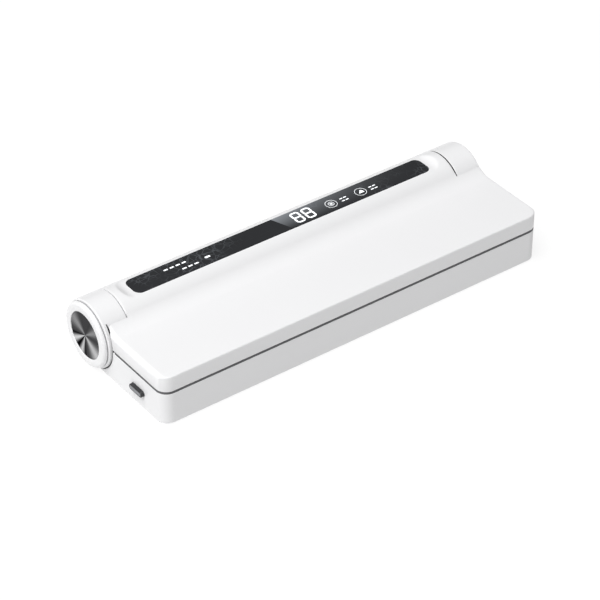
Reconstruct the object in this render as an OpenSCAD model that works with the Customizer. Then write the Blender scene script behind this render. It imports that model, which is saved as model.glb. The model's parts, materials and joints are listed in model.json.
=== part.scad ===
// Countertop vacuum sealer: a slim bar with a rear barrel hinge.
// Millimetres, +Z up, table at z = 0, origin under the middle of the whole object.
// Inside body_frame() x = 0 is the body's middle and y = 0 is its front face.

/* [Body] */
// Length of the body between its two side faces
body_l = 370; // [366:1:390]
// Front face to hinge axis
axis_y = 98.5; // [98:0.5:102]
// Height of the hinge axis, which is also the parting line between base and lid
axis_z = 31; // [31:0.5:32]
// Outer radius of the rear barrel
barrel_r = 29; // [28.5:0.1:29]
// Height of the flat lid top
lid_top = 46; // [45.5:0.5:47]
// Radius of the vertical front corners
corner_r = 10; // [8:1:13]
// Radius of the rounded top edge at the left end of the lid
edge_r = 4.3; // [3:0.1:5]
// Wall thickness of the two shells
wall = 2.2; // [2:0.1:2.4]
// Visible gap along the parting line
reveal = 2; // [1:0.1:2]

/* [Barrel] */
// Length of the part of the barrel that turns with the lid
barrel_l = 325.4; // [320:0.2:330]
// Middle of the turning barrel, from the middle of the body
barrel_x = -2.5; // [-4:0.5:0]
// Gaps beside the left and the right fixed barrel end
knuckle_gap = [0.7, 1.2]; // [0.6:0.1:1.4]
// Radius of the hollow sweep from the lid top up to the barrel
sweep_r = 22; // [20:1:30]
// How far the left end cap stands out of the side face
cap_out = 6.5; // [6:0.5:8]
// Radius of the metal disc in the left end cap
disc_r = 20; // [16:0.5:21]

/* [Display] */
// Length of the black glass
glass_l = 291; // [280:1:292]
// Width of the black glass
glass_w = 20.6; // [18:0.1:21]
// Depth of the flat cut into the top of the barrel
flat_cut = 2.5; // [2:0.1:2.6]

/* [Release buttons] */
// Button length, height and how far it stands out
button_size = [17, 5, 3];
// Button centre behind the front face
button_y = 34.5; // [33:0.5:37]
// Button centre above the table
button_z = 16; // [15:0.1:16.5]

/* [Sealing and vacuum] */
// Length of the heating strip
strip_l = 300; // [280:1:302]
// Overall length of the gasket ring
gasket_l = 312; // [300:1:314]
// Overall width of the gasket ring
gasket_w = 40; // [38:0.5:41]
// Width of the gasket itself
gasket_t = 6; // [5:0.5:7]
// Depth of the vacuum trough below the deck
trough_d = 8.3; // [7:0.1:9]

/* [Hidden] */
$fn = 64;
fit = 0.05;
foot_h = 1.5;
half = body_l / 2;
base_top = axis_z - reveal / 2;
lid_z0 = axis_z + reveal / 2;
frame_x = (cap_out - button_size[2]) / 2;
frame_y = -(axis_y + barrel_r) / 2;
floor_z = foot_h + 2;
base_fillet = 2;
lid_fillet = 1.2;
edge_cross = 0.2;
sweep_over = 4;
barrel_half = barrel_l / 2;
cradle_r = barrel_r + 0.8;
clear_r = barrel_r + 0.4;
end_bore_r = barrel_r - wall - 0.3;
sweep_y = axis_y - sqrt(pow(barrel_r + sweep_r, 2) - pow(lid_top + sweep_r - axis_z, 2));
sweep_turn = atan2(axis_y - sweep_y, lid_top + sweep_r - axis_z);
flat_z = axis_z + barrel_r - flat_cut;
glass_t = 1.5;
glass_y = axis_y;
glass_rise = 0.2;
glass_corner = 6;
digit_x = 21;
touch_places = [46, 76];
display_board_z = flat_z - 8;
display_board_top = display_board_z + 1.4;
display_under = flat_z - glass_t + glass_rise - 0.2;
digit_size = [26, 13];
digit_gap = 0.3;
touch_r = 3.5;
// Deck
deck_top = base_top - 0.4;
deck_t = 2.6;
deck_back = axis_y - cradle_r - wall - 0.3;
trough_l = gasket_l - 2 * gasket_t - 4;
trough_w = gasket_w - 2 * gasket_t - 8;
trough_y = 36;
trough_wall = 1.2;
gasket_groove = 1.4;
liner_groove = 1;
gasket_side = 0.4;
gasket_gap = 0.3;
rim_seal_in = 0.1;
rim_seal_t = 1;
rim_seal_gap = 0.2;
seal_y = 9.5;
seal_w = 7;
seal_gap = 0.2;
terminal_x = strip_l / 2 - 3;
ribbon_half = strip_l / 2 - 6;
ribbon_t = 0.2;
lead_r = 0.8;
// Liner
liner_z = lid_z0 + 0.3;
liner_t = 2.2;
chamber_h = 7;
// Hinge
pin_r = 6;
pin_hole_r = 3.5;
pin_head = [9, 2];
bush_r = 10;
end_wall = 2.2;
// Latch
hook_x = 168;
hook_t = 3;
hook_w = 10;
hook_bottom = 14;
hook_foot_h = 2;
tongue_z = 17.5;
tongue_t = 3;
slider_z = 9;
slider_t = 3;
post_x = 158;
post_t = 4.5;
spring_r = 2.6;
spring_wire = 0.35;
spring_turns = 5;
spring_l = 4.8;
// Pump
motor_r = 12.2;
motor_l = 31;
motor_x = -40;
head_l = 29;
head_w = 28;
shaft_r = 1.5;
eccentric = 1.5;
hose_r = 3;
barb_r = 1.75;
barb_bore_r = 1;
hose_z = liner_z + 5.5;
hose_x = 5;
head_x = motor_x + motor_l;
control_top = axis_z + 8.6;
hose_start = trough_y + trough_w / 2 + 2.9;
// Power supply board
board_z = 7;
board_x0 = 30;
board_l = 110;
board_t = 1.6;
board_top = board_z + board_t;
// Barrel end caps
collar_x = half + cap_out - 4;
collar_rim = 1;
collar_groove = [1.2, 1.4];
collar_seal_size = [0.85, 0.9];
barrel_seal_size = [4.6, 0.8];
barrel_seal_in = 0.4;
knuckle_rim = 1.2;
cap_r = barrel_r - 1.4;
cap_back = collar_x + 0.8;
cap_face = half + cap_out;
cap_edge = 2.5;
cap_plug = 6.8;
disc_seat = 2;
disc_dish = 0.4;
disc_dish_r = 30;
// Mains inlet
inlet_size = [25, 17];
inlet_d = 16;
socket_pitch = 8.4;
socket_r = 4.3;
// Lid switch
switch_x = -150;
switch_y = 61;
plunger_r = 1.5;
// Places of repeated pieces
foot_places = [[-150, 14], [150, 14], [-half + 10.5, 88], [half - 10.5, 88]];
foot_r = 6;
screw_places = concat([for (x = [-174, 174]) [x, 18]], [for (x = [-130, -50, 50, 130]) [x, 60]]);
lid_screw_places = concat([for (x = [-175, 175]) [x, 14]], [for (x = [-120, -40, 60, 130]) [x, 62]]);
barrel_screw_places = [-145, -60, 104, 145];
screw_r = 1.5;
screw_head_r = 2.8;
screw_head_h = 1.6;
screw_clear = 0.3;
barrel_post_r = 4.5;
barrel_post_top = axis_z + 5.8;

white = [0.95, 0.95, 0.95];
light_grey = [0.85, 0.86, 0.87];
mid_grey = [0.45, 0.46, 0.48];
black = [0.08, 0.08, 0.09];
steel = [0.72, 0.73, 0.75];
brass = [0.8, 0.65, 0.3];
green = [0.1, 0.35, 0.2];
amber = [0.75, 0.6, 0.35];

// ---- Helpers ----

// Moves a piece from the body's own axes to the shared frame.
module body_frame() translate([frame_x, frame_y, 0]) children();

// Extrudes a (y, z) profile from x0 to x1.
module along_x(x0, x1) translate([x0, 0, 0]) rotate([90, 0, 90]) linear_extrude(x1 - x0) children();

// Distance from the body's middle to the turning barrel's end, and to the fixed end's face.
function barrel_end(side) = barrel_half + side * barrel_x;
function knuckle_in(side) = barrel_end(side) + knuckle_gap[side < 0 ? 0 : 1];

// Cylinder along X about the hinge axis.
module axis_rod(x0, x1, r) translate([x0, axis_y, axis_z]) rotate([0, 90, 0]) cylinder(r = r, h = x1 - x0);

// Solid turned about the hinge axis, drawn as (radius, distance from x0 towards side).
module axis_turn(x0, side) translate([x0, axis_y, axis_z]) rotate([0, side * 90, 0])
    rotate_extrude() children();

module block(x0, x1, y0, y1, z0, z1) translate([x0, y0, z0]) cube([x1 - x0, y1 - y0, z1 - z0]);

// Stadium outline centred on the origin.
module stadium(l, w) {
    square([l - w, w], center = true);
    for (s = [-1, 1]) translate([s * (l - w) / 2, 0]) circle(d = w);
}

module ring(l, w, t) difference() {
    stadium(l, w);
    stadium(l - 2 * t, w - 2 * t);
}

// Plan of the body with rounded front corners, drawn in by t.
module plan(t, y_back) {
    r = corner_r - t;
    translate([-half + t, corner_r]) square([body_l - 2 * t, y_back - corner_r]);
    translate([-half + corner_r, t]) square([body_l - 2 * corner_r, y_back - t]);
    for (s = [-1, 1]) translate([s * (half - corner_r), corner_r]) circle(r);
}

function unit(v) = v / norm(v);

// Insulated wire swept along a list of points as one closed eight-sided tube.
module wire(points, r) {
    sides = 8;
    n = len(points);
    tangent = [for (i = [0 : n - 1])
        unit(points[min(i + 1, n - 1)] - points[max(i - 1, 0)])];
    rings = [for (i = [0 : n - 1])
        let (a = unit(cross(tangent[i], [0.6, -0.7, 0.4])), b = cross(tangent[i], a))
            for (k = [0 : sides - 1]) points[i]
                + r * (cos(360 * k / sides) * a + sin(360 * k / sides) * b)];
    skin = [for (i = [0 : n - 2], k = [0 : sides - 1])
        let (m = (k + 1) % sides, a = i * sides, b = a + sides)
            each [[a + k, b + k, b + m], [a + k, b + m, a + m]]];
    ends = [[for (k = [0 : sides - 1]) k], [for (k = [0 : sides - 1]) n * sides - 1 - k]];
    polyhedron(rings, concat(skin, ends));
}

module mirror_side(side) mirror([side < 0 ? 1 : 0, 0, 0]) children();

// ---- Base ----

// Side profile of the tub with its rounded lower front edge.
module base_profile() {
    translate([base_fillet, foot_h]) square([axis_y - base_fillet, base_top - foot_h]);
    translate([0, foot_h + base_fillet]) square([axis_y, base_top - foot_h - base_fillet]);
    translate([base_fillet, foot_h + base_fillet]) circle(base_fillet);
}

module base_outer() {
    difference() {
        intersection() {
            along_x(-half, half) base_profile();
            linear_extrude(base_top) plan(0, axis_y);
        }
        axis_rod(-knuckle_in(-1), knuckle_in(1), cradle_r);
        collar_groove_cut();
    }
    axis_turn(knuckle_in(1), 1) knuckle_outline(half - knuckle_in(1), knuckle_rim);
    axis_turn(-knuckle_in(-1), -1) knuckle_outline(collar_x - knuckle_in(-1), collar_rim);
}

// Shadow groove in the left side face, round the collar.
module collar_groove_cut() axis_rod(-half - 1, collar_groove[1] - half, barrel_r + collar_groove[0]);

// Outside of a barrel end as (radius, length) with its outer rim rounded by r.
module knuckle_outline(l, r) {
    square([barrel_r, l - r]);
    square([barrel_r - r, l]);
    translate([barrel_r - r, l - r]) circle(r);
}

module base_inner() {
    inner_back = axis_y - wall;
    difference() {
        translate([0, 0, floor_z]) linear_extrude(axis_z) plan(wall, inner_back);
        axis_rod(-knuckle_in(-1) - wall, knuckle_in(1) + wall, cradle_r + wall);
        for (s = [-1, 1]) mirror_side(s)
            block(knuckle_in(s) - 1, half, axis_y - clear_r - 1, axis_y, base_top - 0.01, 2 * axis_z);
    }
    for (s = [-1, 1]) mirror_side(s)
        axis_rod(knuckle_in(s) + wall, half - 3, end_bore_r);
    axis_rod(-half - cap_out, -half + 4, end_bore_r);
    axis_rod(half - 4, half + 1, disc_r + 2);
}

module base_bosses() {
    for (p = screw_places) translate([p[0], p[1], floor_z - 0.5]) cylinder(r = 4, h = 3.5);
    for (s = [-1, 1]) mirror_side(s) {
        block(post_x - 7.5, post_x - 5, button_y - 5, button_y + 5, floor_z - 0.5, slider_z + 7);
        block(post_x - 2, half - 5, button_y - 4.5, button_y + 4.5, floor_z - 0.5, slider_z - 0.3);
    }
}

module button_outline(grow) translate([button_y, button_z])
    stadium(button_size[0] + 2 * grow, button_size[1] + 2 * grow);

module base_shell() color(white) body_frame() difference() {
    union() {
        difference() {
            base_outer();
            base_inner();
        }
        base_bosses();
    }
    axis_rod(-half, half, pin_r + 0.02);
    along_x(-half - 1, -half + wall + 1) button_outline(0.4);
    along_x(half - wall - 1, half + 1) button_outline(0.4);
    for (p = screw_places) translate([p[0], p[1], 0]) {
        cylinder(r = screw_r + screw_clear, h = 10);
        cylinder(r = screw_head_r + screw_clear, h = foot_h + screw_head_h);
    }
    for (p = foot_places) translate([p[0], p[1], 0]) cylinder(r = foot_r, h = foot_h + 0.6);
}

module base_deck() color(light_grey) body_frame() difference() {
    union() {
        translate([0, 0, deck_top - deck_t])
            linear_extrude(deck_t) plan(wall + 0.3, deck_back);
        translate([0, trough_y, deck_top - trough_d - trough_wall]) linear_extrude(trough_d)
            stadium(trough_l + 2 * trough_wall, trough_w + 2 * trough_wall);
        block(-strip_l / 2 - 4, strip_l / 2 + 4, seal_y - seal_w / 2 - 1.5, seal_y + seal_w / 2 + 1.5,
            deck_top - 4.5, deck_top - 1);
        for (p = screw_places) translate([p[0], p[1], floor_z + 3.2])
            cylinder(r = 3.6, h = deck_top - floor_z - 4);
    }
    translate([0, trough_y, deck_top - trough_d]) linear_extrude(trough_d + 1)
        stadium(trough_l, trough_w);
    translate([0, trough_y, deck_top - gasket_groove]) linear_extrude(gasket_groove + 1)
        ring(gasket_l, gasket_w, gasket_t);
    block(-strip_l / 2, strip_l / 2, seal_y - seal_w / 2, seal_y + seal_w / 2,
        deck_top - 3, deck_top + 1);
    for (s = [-1, 1]) {
        translate([s * hook_x, button_y, deck_top - 5])
            linear_extrude(6) square([hook_t + 3, hook_w + 7], center = true);
        translate([s * terminal_x, seal_y, deck_top - 6]) cylinder(r = 1.6, h = 5);
    }
    translate([switch_x, switch_y, deck_top - 5]) cylinder(r = 3, h = 6);
    for (p = screw_places) translate([p[0], p[1], floor_z])
        cylinder(r = screw_r + fit, h = 16);
}

module lower_gasket() color(mid_grey) body_frame()
    translate([0, trough_y, deck_top - gasket_groove])
        linear_extrude(axis_z - gasket_gap / 2 - deck_top + gasket_groove)
            ring(gasket_l - gasket_side, gasket_w - gasket_side, gasket_t - gasket_side);

// Rubber strip in the groove round the collar, from the lid's top down to the base's underside.
module collar_seal() color(black) body_frame() intersection() {
    axis_turn(collar_groove[1] - half, -1)
        translate([barrel_r + fit, fit]) square(collar_seal_size);
    along_x(-half, 0) difference() {
        union() {
            lid_profile(0);
            base_profile();
        }
        translate([axis_y, axis_z]) square(2 * barrel_r);
    }
}

// Rubber ring in the gap beside the right barrel end, set back from the outside.
module barrel_seal() color(black) body_frame() axis_turn(knuckle_in(1) - fit, -1)
    translate([barrel_r - barrel_seal_in - barrel_seal_size[0], 0]) square(barrel_seal_size);

// Dark strip in the parting line.
module rim_seal() color(black) body_frame() translate([0, 0, base_top])
    linear_extrude(reveal - rim_seal_gap) difference() {
        plan(rim_seal_in, deck_back);
        plan(rim_seal_in + rim_seal_t, body_l);
    }

module heater_carrier() color(amber) body_frame() difference() {
    block(-strip_l / 2 + seal_gap, strip_l / 2 - seal_gap, seal_y - seal_w / 2 + seal_gap,
        seal_y + seal_w / 2 - seal_gap,
        deck_top - 3, deck_top);
    for (s = [-1, 1]) translate([s * terminal_x, seal_y, 0]) cylinder(r = 1.3, h = axis_z);
}

module heating_strip() color(steel) body_frame()
    block(-ribbon_half, ribbon_half, seal_y - 1.3, seal_y + 1.3, deck_top, deck_top + ribbon_t);

module ptfe_tape() color(amber) body_frame() {
    tape_z = deck_top + ribbon_t;
    block(-ribbon_half, ribbon_half, seal_y - 3, seal_y + 3, tape_z, tape_z + 0.15);
}

module heater_terminals() color(brass) body_frame() for (s = [-1, 1]) {
    translate([s * terminal_x, seal_y, deck_top - 9]) cylinder(r = 1.2, h = 9);
    translate([s * terminal_x, seal_y, deck_top]) cylinder(r = 2.2, h = 0.7);
}

module thermal_cutout() color(steel) body_frame()
    block(-7, 7, seal_y - 3, seal_y + 3, deck_top - 7.6, deck_top - 4.5);

// ---- Power supply under the trough ----

module power_board() color(green) body_frame() {
    block(board_x0, board_x0 + board_l, 18, 52, board_z, board_top);
    for (x = [board_x0 + 5, board_x0 + board_l - 5], y = [22, 48])
        translate([x, y, floor_z]) cylinder(r = 2.5, h = board_z - floor_z);
}

module power_transformer() color(amber) body_frame() {
    block(board_x0 + 40, board_x0 + 58, 26, 44, board_top, board_z + 12);
    block(board_x0 + 43, board_x0 + 55, 23.5, 46.5, board_z + 3, board_z + 10.6);
}

module board_capacitors() color(black) body_frame() for (i = [0 : 2])
    translate([board_x0 + 72 + 11 * i, 24, board_z + 6.8]) rotate([-90, 0, 0]) cylinder(r = 5, h = 16);

module board_heatsink() color(steel) body_frame() {
    block(board_x0 + 8, board_x0 + 34, 22, 46, board_top, board_z + 3.6);
    for (i = [0 : 5]) block(board_x0 + 8 + i * 4.8, board_x0 + 10 + i * 4.8, 22, 46,
        board_z + 3.5, board_z + 11);
}

module rubber_feet() color(black) body_frame() for (p = foot_places)
    translate([p[0], p[1], 0]) cylinder(r = foot_r - 0.1, h = foot_h + 0.6);

// Countersunk screw pointing up from z = 0.
module screw(l) {
    cylinder(r = screw_head_r, h = screw_head_h);
    translate([0, 0, screw_head_h - 0.1]) cylinder(r = screw_r, h = l - screw_head_h + 0.1);
}

module base_screws() color(steel) body_frame() for (p = screw_places)
    translate([p[0], p[1], foot_h]) screw(16);

// ---- Hinge ----

module hinge_pin(side) color(mid_grey) body_frame() mirror_side(side) difference() {
    union() {
        axis_rod(barrel_end(side) - 5.5, knuckle_in(side) + wall + pin_head[1], pin_r);
        axis_rod(knuckle_in(side) + wall, knuckle_in(side) + wall + pin_head[1], pin_head[0]);
    }
    axis_rod(0, half, pin_hole_r);
}
module hinge_pin_left() hinge_pin(-1);
module hinge_pin_right() hinge_pin(1);

module barrel_bush(side) color(light_grey) body_frame() mirror_side(side) difference() {
    union() {
        axis_rod(barrel_end(side) - end_wall - 4, barrel_end(side), bush_r - 0.1);
        axis_rod(barrel_end(side) - end_wall - 4, barrel_end(side) - end_wall - 0.1, bush_r + 4);
    }
    axis_rod(0, half, pin_r + fit);
}
module barrel_bush_left() barrel_bush(-1);
module barrel_bush_right() barrel_bush(1);

// ---- Barrel ends ----

module left_end_cap() color(white) body_frame() axis_turn(0, -1) difference() {
    union() {
        translate([0, cap_back - cap_plug]) square([end_bore_r - 0.3, cap_plug]);
        translate([0, cap_back]) square([cap_r, cap_face - cap_edge - cap_back]);
        translate([0, cap_back]) square([cap_r - cap_edge, cap_face - cap_back]);
        intersection() {
            translate([cap_r - cap_edge, cap_face - cap_edge]) circle(cap_edge);
            translate([0, cap_back]) square([barrel_r, cap_out]);
        }
    }
    translate([0, cap_face - disc_seat]) square([disc_r + 0.1, disc_seat + 1]);
    translate([0, cap_back - cap_plug - 1]) square([disc_r, 3.5]);
}

module left_end_disc() color(steel) body_frame() axis_turn(0, -1) difference() {
    translate([0, cap_face - disc_seat]) square([disc_r, disc_seat - disc_dish]);
    translate([0, cap_face - disc_dish + disc_dish_r]) circle(disc_dish_r + 0.3, $fn = 128);
}

module right_end_cap() color(white) body_frame() difference() {
    axis_rod(half - 2.5, half, disc_r + 1.9);
    translate([0, axis_y, axis_z]) block(0, body_l, -inlet_size[0] / 2, inlet_size[0] / 2,
        -inlet_size[1] / 2, inlet_size[1] / 2);
}

module mains_inlet() color(black) body_frame() translate([0, axis_y, axis_z]) difference() {
    block(half - inlet_d + 3, half - 0.1, -inlet_size[0] / 2 + 0.1, inlet_size[0] / 2 - 0.1,
        -inlet_size[1] / 2 + 0.1, inlet_size[1] / 2 - 0.1);
    translate([half - inlet_d + 5.5, 0, 0]) rotate([90, 0, 90]) linear_extrude(inlet_d)
        stadium(socket_pitch + 2 * socket_r, 2 * socket_r);
}

module inlet_pins() color(brass) body_frame() for (s = [-1, 1])
    translate([half - inlet_d + 5.5, axis_y + s * socket_pitch / 2, axis_z])
        rotate([0, 90, 0]) cylinder(r = 1.2, h = 8);

// ---- Latches and lid switch ----

module release_button(side) color(black) body_frame() mirror_side(side) {
    along_x(half - 3.4, half + button_size[2]) button_outline(0);
    along_x(half - 3.4, half - 2.4) button_outline(1.5);
}
module release_button_left() release_button(-1);
module release_button_right() release_button(1);

module latch_slider(side) color(light_grey) body_frame() mirror_side(side) {
    block(half - 5.4, half - 3.4, button_y - 5, button_y + 5, slider_z, button_z + 3.5);
    block(post_x, half - 5, button_y - 4, button_y + 4, slider_z, slider_z + slider_t);
    block(post_x, post_x + post_t, button_y - 4, button_y + 4, slider_z + 1, tongue_z + tongue_t + 1);
    block(post_x + 1, hook_x - hook_t / 2 - 0.4, button_y - 2, button_y + 2,
        tongue_z, tongue_z + tongue_t);
}
module latch_slider_left() latch_slider(-1);
module latch_slider_right() latch_slider(1);

// Compression spring as a stack of rings between the post and its stop.
module latch_spring(side) color(steel) body_frame() mirror_side(side) {
    pitch = spring_l / spring_turns;
    translate([post_x - 4.9, button_y, slider_z + 4]) rotate([0, 90, 0])
        for (i = [0 : spring_turns - 1]) translate([0, 0, (i + 0.5) * pitch])
            rotate_extrude() translate([spring_r, 0]) circle(spring_wire, $fn = 16);
}
module latch_spring_left() latch_spring(-1);
module latch_spring_right() latch_spring(1);

module lid_switch() color(black) body_frame() difference() {
    block(switch_x - 8, switch_x + 8, switch_y - 3, switch_y + 3, 14, deck_top - deck_t);
    translate([switch_x, switch_y, 17]) cylinder(r = plunger_r + fit, h = 20);
}

module switch_plunger() color(mid_grey) body_frame()
    translate([switch_x, switch_y, 19]) cylinder(r = plunger_r, h = deck_top - 19.4);

module lid_hook(side) color(light_grey) body_frame() mirror_side(side) difference() {
    union() {
        block(hook_x - hook_t / 2, hook_x + hook_t / 2, button_y - hook_w / 2, button_y + hook_w / 2,
            hook_bottom, liner_z + liner_t + hook_foot_h);
        block(hook_x - 6, hook_x + 6, button_y - hook_w / 2, button_y + hook_w / 2,
            liner_z + liner_t, liner_z + liner_t + hook_foot_h);
    }
    block(hook_x - hook_t, hook_x + hook_t, button_y - 3, button_y + 3,
        tongue_z - 0.5, tongue_z + tongue_t + 1);
}
module lid_hook_left() lid_hook(-1);
module lid_hook_right() lid_hook(1);

// ---- Wiring held inside the base ----

module heater_leads() color("red") body_frame() for (s = [-1, 1]) {
    end = [s * terminal_x, seal_y, deck_top - 9.8];
    start = [board_x0 + (s > 0 ? 106 : 4), 19.5, board_z + 2.8];
    wire([start, [start[0] + s * 2, 15, board_z + 4], [start[0] + s * 6, 13, board_z + 4.5],
        [end[0] - s * 6, 13, board_z + 4.5], [end[0] - s * 1, 12, board_z + 6],
        [end[0], seal_y, end[2] - 4], end], lead_r);
}

module mains_leads() color("brown") body_frame() for (i = [0, 1]) {
    y = axis_y - socket_pitch / 2 + i * socket_pitch;
    lane = half - 14.6 + 3.4 * i;
    wire([[half - inlet_d + 2.4, y, axis_z], [half - 14.6, y, axis_z - 1.5],
        [half - 14.6, y - 2 * i, axis_z - 10], [lane, y - 12, 12], [lane, y - 30, 8.5],
        [lane - 1, 60 - 4 * i, 8], [lane - 6, 53 - 4 * i, 8], [board_x0 + 112, 47 - 4 * i, 7.8]], lead_r);
}

// ---- Lid ----

function arc(cx, cy, r, a0, a1, steps) =
    [for (i = [0 : steps]) let (a = a0 + (a1 - a0) * i / steps) [cx + r * cos(a), cy + r * sin(a)]];

// Side outline of the lid drawn in by t: rounded front edge, flat top, hollow sweep and barrel.
function lid_outline(t) =
    let (meet = 90 + sweep_turn, r = max(lid_fillet - t, 0.2))
    concat(
        [[t, 0]],
        arc(t + r, lid_top - t - r, r, 180, 90, 8),
        arc(sweep_y, lid_top + sweep_r, sweep_r + t, -90, meet - 180, 20),
        arc(axis_y, axis_z, barrel_r - t, meet - 1, 0, 48),
        [[axis_y + barrel_r - t, 0]]
    );

module lid_profile(t) polygon(lid_outline(t));

module above(z) block(-body_l, body_l, -10, 2 * axis_y, z, z + 100);

// Cut that flattens the barrel for the glass and rises at both ends in a hollow curve.
module display_scoop() {
    scoop_r = 14;
    run = sqrt(scoop_r * scoop_r - pow(scoop_r - flat_cut, 2));
    flat_half = glass_l / 2 + 2;
    translate([barrel_x, 2 * axis_y, 0]) rotate([90, 0, 0]) linear_extrude(2 * axis_y) {
        translate([-flat_half, flat_z]) square([2 * flat_half, barrel_r]);
        for (s = [-1, 1]) intersection() {
            translate([s * flat_half, flat_z + scoop_r]) circle(scoop_r);
            translate([s > 0 ? 0 : -flat_half - run, flat_z]) square([flat_half + run, flat_cut + 1]);
        }
    }
}

module glass_outline(grow) {
    r = glass_corner + grow;
    l = glass_l + 2 * grow;
    w = glass_w + 2 * grow;
    square([l - 2 * r, w], center = true);
    square([l, w - 2 * r], center = true);
    for (sx = [-1, 1], sy = [-1, 1]) translate([sx * (l / 2 - r), sy * (w / 2 - r)]) circle(r);
}

// Waste outside a rounded edge whose sharp corner is at the origin, drawn to the right of it.
module edge_waste() difference() {
    translate([-edge_r, -edge_r]) square(edge_r + 1);
    translate([edge_cross - edge_r, edge_cross - edge_r]) circle(edge_r);
}

// Rounds the top edge at the left end of the lid: straight over the flat, then round the sweep.
module lid_end_edge() mirror_side(-1) {
    translate([half, sweep_y, lid_top]) rotate([90, 0, 0]) linear_extrude(sweep_y + 1) edge_waste();
    translate([0, sweep_y, lid_top + sweep_r]) rotate([0, 90, 0])
        rotate_extrude(angle = sweep_turn + sweep_over)
            translate([sweep_r, half]) mirror([1, 0]) edge_waste();
}

module lid_outer() difference() {
    intersection() {
        along_x(-half, half) lid_profile(0);
        linear_extrude(2 * axis_z) plan(0, axis_y + barrel_r + 1);
        above(lid_z0);
    }
    for (s = [-1, 1]) mirror_side(s) {
        axis_rod(barrel_end(s), half + 1, clear_r);
        block(barrel_end(s), half + 1, axis_y, axis_y + 2 * barrel_r, 0, 100);
    }
    display_scoop();
    collar_groove_cut();
    lid_end_edge();
}

module lid_inner() difference() {
    intersection() {
        along_x(-half + wall, half - wall) lid_profile(wall);
        linear_extrude(2 * axis_z) plan(wall, axis_y + barrel_r);
    }
    for (s = [-1, 1]) mirror_side(s) {
        axis_rod(barrel_end(s) - end_wall, half, clear_r + wall);
        block(barrel_end(s) - end_wall, half, axis_y - 2, axis_y + 2 * barrel_r, 0, 100);
    }
    block(-half, half, glass_y - barrel_r, glass_y + barrel_r, flat_z - glass_t - 2, 100);
}

module lid_posts() {
    for (p = lid_screw_places) translate([p[0], p[1], liner_z + liner_t])
        cylinder(r = 3.5, h = lid_top - 1.5 - liner_z - liner_t);
    for (x = barrel_screw_places) translate([x, axis_y, axis_z + 6])
        cylinder(r = 3.5, h = flat_z - axis_z - 8);
}

module lid_shell() color(white) body_frame() difference() {
    union() {
        difference() {
            lid_outer();
            lid_inner();
        }
        lid_posts();
    }
    for (s = [-1, 1]) mirror_side(s)
        axis_rod(barrel_end(s) - end_wall - 1, half, bush_r);
    translate([barrel_x, glass_y, flat_z - glass_t + glass_rise]) linear_extrude(5)
        glass_outline(0.2);
    translate([0, glass_y, 0]) {
        translate([digit_x, 0, display_board_z]) linear_extrude(flat_z - display_board_z)
            offset(delta = digit_gap) square(digit_size, center = true);
        for (x = touch_places) translate([x, 0, display_board_z])
            cylinder(r = touch_r + 0.5, h = flat_z - display_board_z);
    }
    for (p = lid_screw_places) translate([p[0], p[1], 0]) cylinder(r = screw_r + fit, h = lid_top - 4);
    for (x = barrel_screw_places) translate([x, axis_y, 0])
        cylinder(r = screw_r + fit, h = axis_z + 20);
}

module lid_liner() color(light_grey) body_frame() difference() {
    union() {
        translate([0, 0, liner_z]) linear_extrude(liner_t) plan(wall + 0.3, deck_back + wall + 0.2);
        translate([0, trough_y, liner_z]) linear_extrude(chamber_h + trough_wall)
            stadium(trough_l + 2 * trough_wall, trough_w + 2 * trough_wall);
        block(-strip_l / 2 - 3, strip_l / 2 + 3, seal_y - seal_w / 2 - 1.2, seal_y + seal_w / 2 + 1.2,
            liner_z, liner_z + 6);
        translate([switch_x, switch_y, deck_top + 0.1]) cylinder(r = 2, h = liner_z - deck_top);
    }
    translate([0, trough_y, liner_z - 1]) linear_extrude(chamber_h + 1) stadium(trough_l, trough_w);
    translate([0, trough_y, liner_z - 1]) linear_extrude(1 + liner_groove)
        ring(gasket_l, gasket_w, gasket_t);
    block(-strip_l / 2, strip_l / 2, seal_y - seal_w / 2, seal_y + seal_w / 2, 0, liner_z + 4.8);
    for (s = [-1, 1]) translate([s * hook_x, button_y, 0]) linear_extrude(liner_z + 10)
        square([hook_t + 0.2, hook_w + 0.2], center = true);
    for (s = [-1, 1]) mirror_side(s)
        axis_rod(barrel_end(s) - end_wall - 0.3, half, clear_r + wall + 0.3);
    for (p = lid_screw_places) translate([p[0], p[1], 0]) {
        cylinder(r = screw_r + screw_clear, h = liner_z + 10);
        cylinder(r = screw_head_r + screw_clear, h = liner_z + screw_head_h);
    }
    translate([hose_x, trough_y, hose_z]) rotate([-90, 0, 0]) cylinder(r = 2.2, h = 20);
}

module barrel_posts() for (x = barrel_screw_places)
    translate([x, axis_y, 0]) cylinder(r = barrel_post_r, h = barrel_post_top);

module barrel_underside() color(white) body_frame() difference() {
    union() {
        difference() {
            axis_rod(-barrel_end(-1), barrel_end(1), barrel_r);
            axis_rod(end_wall - barrel_end(-1), barrel_end(1) - end_wall, barrel_r - wall);
        }
        intersection() {
            axis_rod(-barrel_end(-1), barrel_end(1), barrel_r - 1);
            barrel_posts();
        }
    }
    difference() {
        above(lid_z0 - 0.2);
        barrel_posts();
    }
    for (s = [-1, 1]) mirror_side(s)
        axis_rod(barrel_end(s) - end_wall - 1, half, bush_r);
    for (x = barrel_screw_places) translate([x, axis_y, 0]) {
        cylinder(r = screw_r + screw_clear, h = 60);
        cylinder(r = screw_head_r + screw_clear, h = axis_z - 1);
    }
}

module upper_gasket() color(mid_grey) body_frame()
    translate([0, trough_y, axis_z + gasket_gap / 2])
        linear_extrude(liner_z + liner_groove - axis_z - gasket_gap / 2)
            ring(gasket_l - gasket_side, gasket_w - gasket_side, gasket_t - gasket_side);

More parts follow.
